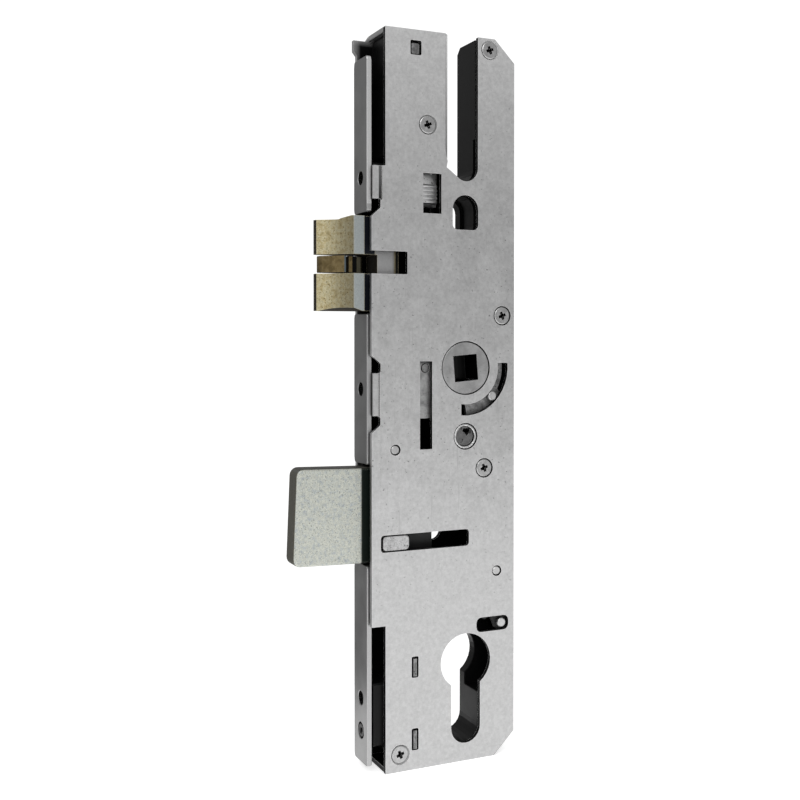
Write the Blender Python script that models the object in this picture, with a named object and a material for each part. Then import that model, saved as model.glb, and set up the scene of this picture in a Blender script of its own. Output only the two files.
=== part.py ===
"""Centre case of a multipoint mortise lock, as an assembly of separate pieces.

Run with: blender --background --python part.py

Frame: +X runs from the forend into the door, +Y from the near cover to the far side plate, +Z up.
The origin is on the front face of the middle forend strip, level with the spindle and halfway through
the thickness of the case. Sizes below are in millimetres; meshes are made in metres.
"""
import math

import bmesh
import bpy
from mathutils import Vector

MM = 0.001
FIT = 0.3                       # running clearance between neighbouring pieces

# ---- driving dimensions ------------------------------------------------------------------------
CASE_THICK = 15.0               # over both side plates
SHEET = 1.5                     # side plates
CASE_REAR = 49.7                # rear edge
CASE_TOP = 103.4                # head box and rear arm
CASE_BOTTOM = -123.4
CORNER = 7.0                    # chamfer on the two rear corners
BACKSET = 32.5                  # forend strip to spindle and cylinder
CYLINDER_Z = -92.0              # spindle to cylinder centres, 92 mm
CYLINDER_R = 8.7                # euro profile: barrel, stem half width, lowest point
STEM_HALF = 5.06
STEM_BOTTOM = -117.8
SPINDLE_SQUARE = 8.2
SQUARE_TILT = 4.5               # the square sits a little off level, degrees
HUB_R = 8.15
HUB_NECK_R = 7.0
STRIP_THICK = 1.7
STRIP_HALF = 5.25
GEAR_TEETH = 16
GEAR_PITCH_R = 10.0
TOOTH_ABOVE, TOOTH_BELOW = 1.0, 1.3     # pitch line to tip and to root
LATCH_LOW, LATCH_HIGH = 17.6, 46.3
TONGUE_LOW, TONGUE_HIGH = 28.9, 34.7
BOLT_LOW, BOLT_HIGH = -59.2, -29.5
BOLT_NEAR, BOLT_FAR = -4.0, 2.9
BOLT_TIP = -23.0
LEVER_PIVOT = (43.5, -64.5)
LEVER_PIN = (45.5, -81.3)

OUTER = CASE_THICK / 2          # outer faces of the side plates
INNER = OUTER - SHEET           # inner faces
CORE = INNER - FIT              # what is held between the plates
PLATE_LAYER = (-5.6, -4.2)      # sheet parts that run just behind the near cover
CAM_LAYER = (-1.6, 1.6)         # middle of the case, where the cylinder's cam turns
TAIL_LAYER = (1.9, 3.5)
SCREW_HEAD_R = 2.7
SCREW_SINK_R = 3.1
SCREW_SHANK_R = 1.4
RIVET_R = 1.4
CASE_SCREWS = {
    "case_screw_head": (19.4, 74.8),
    "case_screw_arm": (40.9, 99.8),
    "case_screw_rear": (45.4, 16.4),
    "case_screw_middle": (39.0, -31.6),
    "case_screw_foot": (10.1, -118.1),
}
FRONT_RIVET = (8.5, -24.7)
EYELET = (32.4, -21.4)
EYELET_R = 3.9
FOLLOWER_PIN_ANGLE = -43.0
FOLLOWER_PIN_ORBIT = 13.15
STRIP_HOLES = {"upper_strip": 58.2, "middle_strip": -6.3, "lower_strip": -101.4}
STRIP_SPANS = {"upper_strip": (47.5, 94.6), "middle_strip": (-29.1, 16.8), "lower_strip": (-121.2, -59.9)}
STRIP_RIVET_Z = -111.4
TONGUE_PIN = (-1.0, 2.9)        # X and Y of the upright pin
TAB_SLOTS = ((-95.0, -88.5), (-117.4, -110.7))
TAB_X = (13.9, 16.2)

# The fixed point of each moving group; its pieces have their origin here.
ANCHORS = {
    "case": (0.0, 0.0, 0.0),
    "follower": (BACKSET, 0.0, 0.0),
    "drive_slide": (BACKSET - GEAR_PITCH_R, 0.0, 0.0),
    "latch": (0.0, 0.0, (LATCH_LOW + LATCH_HIGH) / 2),
    "tongue": (TONGUE_PIN[0], TONGUE_PIN[1], (TONGUE_LOW + TONGUE_HIGH) / 2),
    "deadbolt": (0.0, 0.0, (BOLT_LOW + BOLT_HIGH) / 2),
    "locking_lever": (LEVER_PIVOT[0], 0.0, LEVER_PIVOT[1]),
}

# ---- scene and materials -----------------------------------------------------------------------
for old in list(bpy.data.objects):
    bpy.data.objects.remove(old, do_unlink=True)


def material(name, colour, roughness, metallic):
    """A plain Principled material."""
    made = bpy.data.materials.new(name)
    made.use_nodes = True
    shader = made.node_tree.nodes["Principled BSDF"]
    shader.inputs["Base Color"].default_value = (*colour, 1.0)
    shader.inputs["Roughness"].default_value = roughness
    shader.inputs["Metallic"].default_value = metallic
    made.diffuse_color = (*colour, 1.0)
    return made


STEEL = material("galvanised_steel", (0.50, 0.50, 0.50), 0.42, 0.9)
STRIP_STEEL = material("strip_steel", (0.36, 0.36, 0.37), 0.45, 0.9)
BLACK = material("black_casting", (0.015, 0.015, 0.016), 0.4, 0.0)
YELLOW_ZINC = material("yellow_passivated_zinc", (0.52, 0.44, 0.27), 0.5, 0.7)
CLEAR_ZINC = material("clear_passivated_zinc", (0.52, 0.55, 0.52), 0.45, 0.7)
BRONZE = material("tongue_bronze", (0.30, 0.20, 0.08), 0.45, 0.7)
BRIGHT = material("bright_steel", (0.58, 0.58, 0.58), 0.35, 0.95)
SPRING = material("spring_steel", (0.25, 0.25, 0.26), 0.35, 0.95)

GROUPS = {}
for group_name, spot in ANCHORS.items():
    empty = bpy.data.objects.new("axis_" + group_name, None)
    empty.location = Vector(spot) * MM
    bpy.context.scene.collection.objects.link(empty)
    GROUPS[group_name] = empty


# ---- outlines ----------------------------------------------------------------------------------
def arc(centre, radius, start, stop, steps):
    """Points on an arc, angles in degrees, both ends included."""
    angles = [math.radians(start + (stop - start) * i / steps) for i in range(steps + 1)]
    return [(centre[0] + radius * math.cos(a), centre[1] + radius * math.sin(a)) for a in angles]


def circle(centre, radius, steps=24):
    return arc(centre, radius, 0.0, 360.0, steps)[:-1]


def box_outline(u0, v0, u1, v1, radius=0.0, steps=3):
    """A rectangle, with round corners where a radius is given."""
    if radius == 0.0:
        return [(u0, v0), (u1, v0), (u1, v1), (u0, v1)]
    centres = ((u0 + radius, v0 + radius, 180.0), (u1 - radius, v0 + radius, 270.0),
               (u1 - radius, v1 - radius, 0.0), (u0 + radius, v1 - radius, 90.0))
    points = []
    for u, v, angle in centres:
        points += arc((u, v), radius, angle, angle + 90.0, steps)
    return points


def euro_outline(grow=0.0):
    """The euro-profile cut-out, grown outwards by a margin."""
    radius, half = CYLINDER_R + grow, STEM_HALF + grow
    meet = math.degrees(math.acos(half / radius))
    stem_centre = (BACKSET, STEM_BOTTOM + STEM_HALF)
    barrel = arc((BACKSET, CYLINDER_Z), radius, -meet, 180.0 + meet, 26)
    return barrel + arc(stem_centre, half, 180.0, 360.0, 12)


def handle_hole_outline(grow=0.0):
    """The D-shaped hole: a half round over a rectangle with round lower corners."""
    left, right, low, top, corner = 27.9 - grow, 36.8 + grow, 43.1 - grow, 53.9 + grow, 1.6 + grow
    radius = (right - left) / 2
    points = arc(((left + right) / 2, top - radius), radius, 0.0, 180.0, 14)
    points += arc((left + corner, low + corner), corner, 180.0, 270.0, 4)
    return points + arc((right - corner, low + corner), corner, 270.0, 360.0, 4)


def turned_about_hub(outline, degrees):
    """An outline given with the hub at (0, 0), turned and moved to the hub."""
    c, s = math.cos(math.radians(degrees)), math.sin(math.radians(degrees))
    return [(BACKSET + u * c - v * s, u * s + v * c) for u, v in outline]


# ---- solids ------------------------------------------------------------------------------------
AXES = {"X": Vector((1, 0, 0)), "Y": Vector((0, 1, 0)), "Z": Vector((0, 0, 1))}


def at(axis, u, v, along):
    """A point from its place in the outline's plane and along the axis."""
    if axis == "Y":
        return Vector((u, along, v))
    if axis == "X":
        return Vector((along, u, v))
    return Vector((u, v, along))


def prism(outline, span, holes=(), axis="Y"):
    """A closed straight solid of an outline with holes, from span[0] to span[1] along the axis."""
    bm = bmesh.new()
    for loop in (outline, *holes):
        corners = [bm.verts.new(at(axis, u, v, span[0])) for u, v in loop]
        for i, corner in enumerate(corners):
            bm.edges.new((corner, corners[(i + 1) % len(corners)]))
    bmesh.ops.triangle_fill(bm, use_beauty=True, use_dissolve=False, edges=bm.edges[:])
    made = bmesh.ops.extrude_face_region(bm, geom=bm.faces[:])["geom"]
    raised = [item for item in made if isinstance(item, bmesh.types.BMVert)]
    bmesh.ops.translate(bm, verts=raised, vec=AXES[axis] * (span[1] - span[0]))
    bmesh.ops.recalc_face_normals(bm, faces=bm.faces[:])
    return bm


def turned(profile, centre, axis="Y", steps=24):
    """A turned solid: profile points are (radius, place along the axis), from one end to the other."""
    bm = bmesh.new()
    rings = []
    for radius, along in profile:
        if radius == 0.0:
            rings.append([bm.verts.new(at(axis, centre[0], centre[1], along))])
            continue
        rings.append([bm.verts.new(at(axis, u, v, along)) for u, v in circle(centre, radius, steps)])
    for low, high in zip(rings, rings[1:]):
        for i in range(steps):
            j = (i + 1) % steps
            corners = [low[i % len(low)], low[j % len(low)], high[j % len(high)], high[i % len(high)]]
            unique = list(dict.fromkeys(corners))
            if len(unique) > 2:
                bm.faces.new(unique)
    for ring in (rings[0], rings[-1]):
        if len(ring) > 1:
            bm.faces.new(ring)
    bmesh.ops.recalc_face_normals(bm, faces=bm.faces[:])
    return bm


def tube_along(points, radius, sides=8):
    """A round wire through the points, closed at both ends."""
    bm = bmesh.new()
    points = [Vector(p) for p in points]
    rings = []
    normal = None
    for i, point in enumerate(points):
        tangent = (points[min(i + 1, len(points) - 1)] - points[max(i - 1, 0)]).normalized()
        if normal is None:
            normal = tangent.orthogonal().normalized()
        normal = (normal - tangent * normal.dot(tangent)).normalized()
        other = tangent.cross(normal)
        ring = []
        for k in range(sides):
            angle = 2 * math.pi * k / sides
            ring.append(bm.verts.new(point + (normal * math.cos(angle) + other * math.sin(angle)) * radius))
        rings.append(ring)
    for low, high in zip(rings, rings[1:]):
        for k in range(sides):
            bm.faces.new((low[k], low[(k + 1) % sides], high[(k + 1) % sides], high[k]))
    bm.faces.new(rings[0])
    bm.faces.new(rings[-1])
    bmesh.ops.recalc_face_normals(bm, faces=bm.faces[:])
    return bm


def merged(*solids):
    """One mesh of several solids that don't touch, for use as a cutter."""
    bm = bmesh.new()
    for solid in solids:
        scratch = bpy.data.meshes.new("scratch")
        solid.to_mesh(scratch)
        bm.from_mesh(scratch)
        bpy.data.meshes.remove(scratch)
        solid.free()
    return bm


def place(name, bm, group="case", finish=None, smooth=False):
    """Makes the object, in metres, with its origin at its group's fixed point."""
    anchor = Vector(ANCHORS[group])
    bmesh.ops.translate(bm, verts=bm.verts[:], vec=-anchor)
    bmesh.ops.scale(bm, verts=bm.verts[:], vec=(MM, MM, MM))
    mesh = bpy.data.meshes.new(name)
    bm.to_mesh(mesh)
    bm.free()
    if smooth:
        mesh.shade_smooth()
        mesh.set_sharp_from_angle(angle=math.radians(35))
    thing = bpy.data.objects.new(name, mesh)
    if finish is not None:
        mesh.materials.append(finish)
    thing.parent = GROUPS[group]
    bpy.context.scene.collection.objects.link(thing)
    return thing


def carve(thing, bm, group="case", operation="DIFFERENCE"):
    """Cuts a solid out of an object, or joins it on, with an exact Boolean."""
    tool = place(f"tool_{thing.name}_{len(thing.modifiers)}", bm, group)
    tool.hide_render = True
    tool.display_type = "WIRE"
    step = thing.modifiers.new("cut", "BOOLEAN")
    step.operation = operation
    step.object = tool
    step.solver = "EXACT"


def bevel_edges(bm, wanted, width, steps):
    """Rounds the edges that the test picks."""
    edges = [edge for edge in bm.edges if wanted(edge.verts[0].co, edge.verts[1].co)]
    bmesh.ops.bevel(bm, geom=edges, offset=width, offset_type="OFFSET", segments=steps, profile=0.5,
                    affect="EDGES")


# ---- side plates -------------------------------------------------------------------------------
SLOT_FLOOR = (32.5, 62.4)       # centre of the round floor of the U-shaped slot
SLOT_R = 4.2
HEAD_RIGHT = 26.5               # right side of the head box
HEAD_FOOT = 62.9
ARM_LEFT = SLOT_FLOOR[0] + SLOT_R


def near_outline():
    """Outline of the near cover, clockwise from the top left of the head box."""
    head = [(5.2, CASE_TOP), (HEAD_RIGHT, CASE_TOP), (HEAD_RIGHT, HEAD_FOOT), (25.8, 62.2)]
    slot = arc(SLOT_FLOOR, SLOT_R, 222.0, 360.0, 12)
    rear = [(ARM_LEFT, CASE_TOP), (CASE_REAR - CORNER, CASE_TOP), (CASE_REAR, CASE_TOP - CORNER),
            (CASE_REAR, CASE_BOTTOM + CORNER), (CASE_REAR - CORNER, CASE_BOTTOM)]
    foot = [(5.2, CASE_BOTTOM), (5.2, -78.1), (0.7, -78.1)]
    middle_tab = [(0.7, -19.5), (3.5, -17.0), (3.5, -14.8), (2.9, -14.2), (1.4, -14.2), (1.4, -1.3),
                  (3.1, -1.3), (3.6, -0.8), (3.6, 1.6), (0.7, 4.2)]
    latch_notch = [(0.7, 28.8), (12.5, 28.8), (12.5, 35.7), (0.7, 35.7)]
    upper_tab = [(0.7, 46.0), (3.6, 48.7), (3.6, 51.4), (1.5, 51.4), (1.5, 61.4), (5.2, 61.4)]
    return head + slot + rear + foot + middle_tab + latch_notch + upper_tab


def far_outline():
    """Outline of the far plate, with the hooked nose at its top and the room for the black lining."""
    nose = [(0.2, 98.3), (0.2, 101.7), (4.4, 101.7), (5.2, CASE_TOP)]
    head = [(HEAD_RIGHT, CASE_TOP), (HEAD_RIGHT, 41.6), (38.6, 41.6)]
    rear = [(38.6, CASE_TOP), (CASE_REAR - CORNER, CASE_TOP), (CASE_REAR, CASE_TOP - CORNER),
            (CASE_REAR, CASE_BOTTOM + CORNER), (CASE_REAR - CORNER, CASE_BOTTOM)]
    foot = [(5.2, CASE_BOTTOM), (3.5, -121.7), (1.3, -121.7), (1.3, 96.9)]
    return nose + head + rear + foot


def shared_holes():
    """Holes that both side plates have."""
    holes = [circle((BACKSET, 0.0), HUB_R + FIT, 40)]
    holes += [circle(centre, RIVET_R + FIT, 16) for centre in (FRONT_RIVET, LEVER_PIVOT)]
    holes.append(circle(EYELET, EYELET_R + FIT, 24))
    holes += [box_outline(TAB_X[0], low, TAB_X[1], high, 0.3, 1) for low, high in TAB_SLOTS]
    return holes


def arc_slot():
    """Slot round the hub, in which the follower's pin travels."""
    inner, outer, top, left = 11.4, 14.9, 1.5, -1.6
    low_outer = -180.0 + math.degrees(math.acos(-left / outer))
    low_inner = -180.0 + math.degrees(math.acos(-left / inner))
    outside = arc((BACKSET, 0.0), outer, math.degrees(math.asin(top / outer)), low_outer, 12)
    inside = arc((BACKSET, 0.0), inner, low_inner, math.degrees(math.asin(top / inner)), 12)
    return outside + inside


def near_cover():
    windows = [
        box_outline(17.8, 47.7, 24.0, 60.0),
        box_outline(16.7, -24.9, 20.85, 2.2),
        box_outline(3.7, -55.7, 33.6, -50.5, 1.0),
        box_outline(36.3, -83.5, 47.7, -78.9, 1.6),
        box_outline(13.5, 95.7, 17.2, 100.1, 0.3, 1),
        handle_hole_outline(),
        euro_outline(),
        arc_slot(),
    ]
    flange_inside = HEAD_RIGHT - SHEET
    solid = prism(near_outline(), (-OUTER, CORE), windows + shared_holes())
    bevel_edges(solid, lambda a, b: max(a.x, b.x) < HEAD_RIGHT + 0.01 and min(a.x, b.x) > HEAD_RIGHT - 0.01
                and max(a.y, b.y) < 0 and min(a.z, b.z) > HEAD_FOOT - 0.01, 1.3, 3)
    cover = place("near_cover", solid, finish=STEEL)
    beyond = 20.0
    pocket = [(-beyond, CASE_BOTTOM - beyond), (CASE_REAR + beyond, CASE_BOTTOM - beyond),
              (CASE_REAR + beyond, CASE_TOP + beyond), (30.0, CASE_TOP + beyond),
              (30.0, HEAD_FOOT + 0.1), (flange_inside, HEAD_FOOT + 0.1),
              (flange_inside, CASE_TOP + beyond), (-beyond, CASE_TOP + beyond)]
    carve(cover, prism(pocket, (-INNER, OUTER)))
    sinks = [turned([(SCREW_SINK_R, -OUTER - 1.0), (SCREW_SINK_R, -OUTER + 0.15),
                     (SCREW_SHANK_R + 0.5, -INNER - 0.1), (SCREW_SHANK_R + 0.5, 0.0)], centre)
             for centre in CASE_SCREWS.values()]
    carve(cover, merged(*sinks))
    steps = [prism(box_outline(-1.0, 51.0, 4.2, 62.0), (-OUTER - 1.0, -OUTER + 0.45)),
             prism(box_outline(-1.0, -14.6, 3.3, -0.9), (-OUTER - 1.0, -OUTER + 0.45))]
    carve(cover, merged(*steps))


def far_case():
    """Far side plate, folded into a pan by its top, rear and bottom flanges."""
    holes = shared_holes()
    holes += [circle(centre, SCREW_SHANK_R + FIT, 16) for centre in CASE_SCREWS.values()]
    holes.append(euro_outline(1.9))
    holes.append(circle((27.1, -52.5), 3.2, 20))
    solid = prism(far_outline(), (-CORE, OUTER), holes)

    def folded(a, b):
        outside = min(a.y, b.y) > OUTER - 0.01
        top = min(a.z, b.z) > CASE_TOP - 0.01 and max(a.x, b.x) < HEAD_RIGHT + 0.01
        bottom = max(a.z, b.z) < CASE_BOTTOM + 0.01
        rear = min(a.x, b.x) > CASE_REAR - 0.01
        low_corner = min(a.x, b.x) > CASE_REAR - CORNER - 0.01 and max(a.z, b.z) < CASE_BOTTOM + CORNER + 0.01
        return outside and (top or bottom or rear or low_corner)

    bevel_edges(solid, folded, 1.8, 3)
    case = place("far_case", solid, finish=STEEL)
    beyond = 20.0
    rear = CASE_REAR - SHEET
    flange_top = CASE_TOP - SHEET
    flange_bottom = CASE_BOTTOM + SHEET
    arm_end = CASE_TOP - CORNER - 0.5
    pocket = [(-beyond, CASE_BOTTOM - beyond), (5.4, CASE_BOTTOM - beyond), (5.4, flange_bottom),
              (CASE_REAR - CORNER - 0.6, flange_bottom), (rear, CASE_BOTTOM + CORNER + 0.6), (rear, arm_end),
              (CASE_REAR + beyond, arm_end), (CASE_REAR + beyond, CASE_TOP + beyond),
              (HEAD_RIGHT - SHEET - FIT, CASE_TOP + beyond), (HEAD_RIGHT - SHEET - FIT, flange_top),
              (5.2, flange_top), (5.2, CASE_TOP + beyond), (-beyond, CASE_TOP + beyond)]
    carve(case, prism(pocket, (-OUTER, INNER)))


# ---- black castings ----------------------------------------------------------------------------
def upper_block():
    """Lines the rear arm, the U-shaped slot and the D-shaped hole; its foot backs the latch spring."""
    rear = CASE_REAR - SHEET - FIT
    left = HEAD_RIGHT + FIT
    right = 38.3
    wall_r = SLOT_R + 0.15
    slot = arc(SLOT_FLOOR, wall_r, 222.0, 360.0, 12)
    outline = [(left, 35.0), (30.5, 35.0), (30.5, 41.9), (rear, 41.9), (rear, 97.7), (42.5, 103.1),
               (SLOT_FLOOR[0] + wall_r, 103.1)] + slot[::-1] + [(left, 61.8)]
    holes = [handle_hole_outline(-0.7), circle(CASE_SCREWS["case_screw_arm"], SCREW_SHANK_R + FIT, 16)]
    solid = prism(outline, (-5.0, OUTER - 0.1), holes)
    bevel_edges(solid, lambda a, b: min(a.z, b.z) > 103.0 and min(a.y, b.y) > OUTER - 0.2
                and max(a.x, b.x) < 42.6, 2.0, 3)
    block = place("upper_block", solid, finish=BLACK)
    carve(block, prism(handle_hole_outline(0.2), (-OUTER, 4.0)))
    carve(block, merged(
        prism(box_outline(right, 30.0, 60.0, 110.0), (CORE, OUTER + 1.0)),
        prism(box_outline(20.0, 30.0, 32.0, 41.9), (CORE, OUTER + 1.0))))
    carve(block, prism(box_outline(20.0, 30.0, 39.4, 72.0), (-OUTER, -3.6)))


def cylinder_block():
    """Lines the cylinder's stem, and leaves room round the barrel for the cylinder's cam."""
    left, right, low, top = 19.5, CASE_REAR - SHEET - FIT, CASE_BOTTOM + SHEET + FIT, -76.5
    outline = [(left, low), (CASE_REAR - CORNER - 1.2, low), (right, CASE_BOTTOM + CORNER + 1.2),
               (right, -86.5), (right - 4.0, top), (left, top)]
    block = place("cylinder_block", prism(outline, (-CORE, OUTER - 0.1), [euro_outline(0.2)]), finish=BLACK)
    stem_top = -103.0
    carve(block, prism(box_outline(0.0, stem_top, 70.0, -60.0), (-OUTER, 3.9)))
    rim = prism(box_outline(0.0, -140.0, 70.0, -60.0), (CORE, OUTER + 1.0), [euro_outline(1.6)])
    carve(block, rim)


def upper_front_block():
    """Fills the head box behind the upper forend strip; its lug shows in the square hole."""
    hole = circle(CASE_SCREWS["case_screw_head"], SCREW_SHANK_R + FIT, 16)
    outline = box_outline(6.4, 64.6, HEAD_RIGHT - SHEET - FIT, CASE_TOP - SHEET - FIT, 0.6, 2)
    block = place("upper_front_block", prism(outline, (-CORE, CORE), [hole]), finish=BLACK)
    carve(block, prism(box_outline(14.0, 60.0, 30.0, 68.5), (-OUTER, -0.2)))


def head_lug():
    place("head_lug", prism(box_outline(14.0, 96.0, 16.6, 99.3, 0.4, 2), (-OUTER + 0.3, -INNER)),
          finish=STRIP_STEEL)


# ---- forend ------------------------------------------------------------------------------------
def forend_strips():
    for name, (low, high) in STRIP_SPANS.items():
        holes = [circle((0.0, STRIP_HOLES[name]), 2.1, 20)]
        if low < STRIP_RIVET_Z < high:
            holes.append(circle((0.0, STRIP_RIVET_Z), 2.5, 20))
        outline = box_outline(-STRIP_HALF, low, STRIP_HALF, high, 0.9, 3)
        place(name, prism(outline, (0.0, STRIP_THICK), holes, axis="X"), finish=STRIP_STEEL)


def screw_blocks():
    """Threaded blocks behind the holes of the strips, between the side plates."""
    spans = {"upper_screw_block": (52.4, 62.4), "middle_screw_block": (-12.4, -1.0),
             "lower_screw_block": (-115.2, -96.0)}
    front, back, half = STRIP_THICK + FIT, 7.4, 5.6
    for name, (low, high) in spans.items():
        holes = [circle((0.0, z), 1.7, 16) for z in STRIP_HOLES.values() if low < z < high]
        if low < STRIP_RIVET_Z < high:
            holes.append(circle((0.0, STRIP_RIVET_Z), 1.7, 16))
        place(name, prism(box_outline(-half, low, half, high, 0.5, 1), (front, back), holes, axis="X"),
              finish=BLACK)
    rivet = turned([(0.8, 6.0), (0.8, 3.0), (0.8, 0.3), (1.3, 0.1), (1.9, 0.1), (2.1, 0.5),
                    (2.1, STRIP_THICK), (1.35, STRIP_THICK + 0.2), (1.35, 6.0)],
                   (0.0, STRIP_RIVET_Z), axis="X", steps=20)
    bmesh.ops.delete(rivet, geom=[f for f in rivet.faces if len(f.verts) > 4], context="FACES_ONLY")
    bridge_ends(rivet)
    place("lower_strip_rivet", rivet, finish=STRIP_STEEL, smooth=True)


def bridge_ends(bm):
    """Closes a tube between its two open rings, which lie at the same height."""
    rims = [edge for edge in bm.edges if edge.is_boundary]
    bmesh.ops.bridge_loops(bm, edges=rims)
    bmesh.ops.recalc_face_normals(bm, faces=bm.faces[:])


# ---- fasteners and spacers ---------------------------------------------------------------------
def cross_recess(centre, arm=1.3, half=0.5, tip=0.6):
    """Outline of a cross recess with tapered arms."""
    points = []
    for quarter in range(4):
        c, s = math.cos(math.radians(90 * quarter + 20)), math.sin(math.radians(90 * quarter + 20))
        for u, v in ((tip, -half), (arm, -half * 0.9), (arm, half * 0.9), (tip, half)):
            points.append((centre[0] + u * c - v * s, centre[1] + u * s + v * c))
    return points


def case_screws():
    for name, centre in CASE_SCREWS.items():
        face = -OUTER + 0.05
        profile = [(0.0, face), (SCREW_HEAD_R - 0.25, face), (SCREW_HEAD_R, face + 0.15),
                   (SCREW_SHANK_R, -INNER + 0.1), (SCREW_SHANK_R, INNER + 1.0), (0.0, INNER + 1.2)]
        screw = place(name, turned(profile, centre, steps=24), finish=STEEL)
        carve(screw, prism(cross_recess(centre), (-OUTER - 1.0, face + 1.1)))
    for name, radius in (("case_screw_rear", 1.9), ("case_screw_middle", 2.6), ("case_screw_foot", 2.2)):
        centre = CASE_SCREWS[name]
        sleeve = prism(circle(centre, radius, 20), (-CORE, CORE),
                       [circle(centre, SCREW_SHANK_R + 0.15, 16)])
        place(name.replace("screw", "sleeve"), sleeve, finish=BLACK)


def rivets():
    """Two plain rivets through both plates; the rear one is the locking lever's pivot."""
    for name, centre in (("front_rivet", FRONT_RIVET), ("lever_pivot", LEVER_PIVOT)):
        end = OUTER - 0.05
        profile = [(0.0, -end), (RIVET_R - 0.3, -end), (RIVET_R, -end + 0.25), (RIVET_R, end - 0.25),
                   (RIVET_R - 0.3, end), (0.0, end)]
        place(name, turned(profile, centre, steps=20), finish=BRIGHT, smooth=True)


def fixing_eyelet():
    """Eyelet in the near cover, and the pillar that it holds, with an off-centre broached hole."""
    ring = prism(circle(EYELET, EYELET_R, 28), (-OUTER + 0.05, -3.0), [circle(EYELET, 3.2, 24)])
    bevel_edges(ring, lambda a, b: max(a.y, b.y) < -OUTER + 0.1, 0.25, 1)
    place("fixing_eyelet", ring, finish=BRIGHT)
    broach = [(31.9, -18.9), (34.4, -18.9), (33.9, -20.6), (33.2, -21.3), (32.2, -20.2), (31.6, -19.9)]
    solid = prism(circle(EYELET, 2.9, 24), (-OUTER + 0.8, OUTER - 0.1))
    pillar = place("fixing_pillar", solid, finish=STRIP_STEEL)
    carve(pillar, prism(broach, (-OUTER - 1.0, -OUTER + 4.0)))


def spacer_plate():
    """Upright plate behind the lower channel, held by two tabs in each side plate."""
    web = TAB_X[0] + 0.7, TAB_X[1] - 0.5
    under, over = 0.3, 0.8
    end = OUTER - 0.2
    outline = [(-CORE, -119.5), (CORE, -119.5)]
    for low, high in reversed(TAB_SLOTS):
        outline += [(CORE, low + under), (end, low + under), (end, high - over), (CORE, high - over)]
    outline += [(CORE, -86.0), (-CORE, -86.0)]
    for low, high in TAB_SLOTS:
        outline += [(-CORE, high - over), (-end, high - over), (-end, low + under), (-CORE, low + under)]
    place("spacer_plate", prism(outline, web, axis="X"), finish=STRIP_STEEL)


def plate_pin(centre, past):
    """Headed pin that stands on a plate of the middle layer; its shank ends `past` mm beyond it."""
    front, face, end = -OUTER + 0.3, PLATE_LAYER[0] - 0.2, PLATE_LAYER[1] + past
    profile = [(0.0, front), (1.2, front), (1.45, front + 0.2), (1.45, face),
               (0.9, face), (0.9, end), (0.0, end)]
    return turned(profile, centre, steps=16)


# ---- follower: hub, gear, cam, pin and spring --------------------------------------------------
def gear_outline():
    """Toothed sector towards the drive slide, and a skirt that carries the follower's pin."""
    pitch = 360.0 / GEAR_TEETH
    root, tip = GEAR_PITCH_R - TOOTH_BELOW, GEAR_PITCH_R + TOOTH_ABOVE
    body, skirt_r, rear_r = root, 14.9, 13.8
    half_root, half_tip = 7.4, 2.0          # degrees
    points = []
    teeth = range(-3, 4)
    for tooth in teeth:
        middle = 180.0 + tooth * pitch
        for radius, angle in ((root, middle - half_root), (tip, middle - half_tip), (tip, middle + half_tip),
                              (root, middle + half_root)):
            points.append((radius * math.cos(math.radians(angle)), radius * math.sin(math.radians(angle))))
    last = 180.0 + teeth[-1] * pitch + half_root
    pin = FOLLOWER_PIN_ANGLE + 360.0
    points += arc((0.0, 0.0), body, last + 6.0, pin - 48.0, 3)
    points += arc((0.0, 0.0), skirt_r, pin - 42.0, pin + 12.0, 10)
    points += arc((0.0, 0.0), rear_r, pin + 14.0, pin + 63.0, 8)
    first = 180.0 + teeth[0] * pitch - half_root + 360.0
    points += arc((0.0, 0.0), body, pin + 70.0, first - 6.0, 6)
    return turned_about_hub(points, 0.0)


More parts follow.
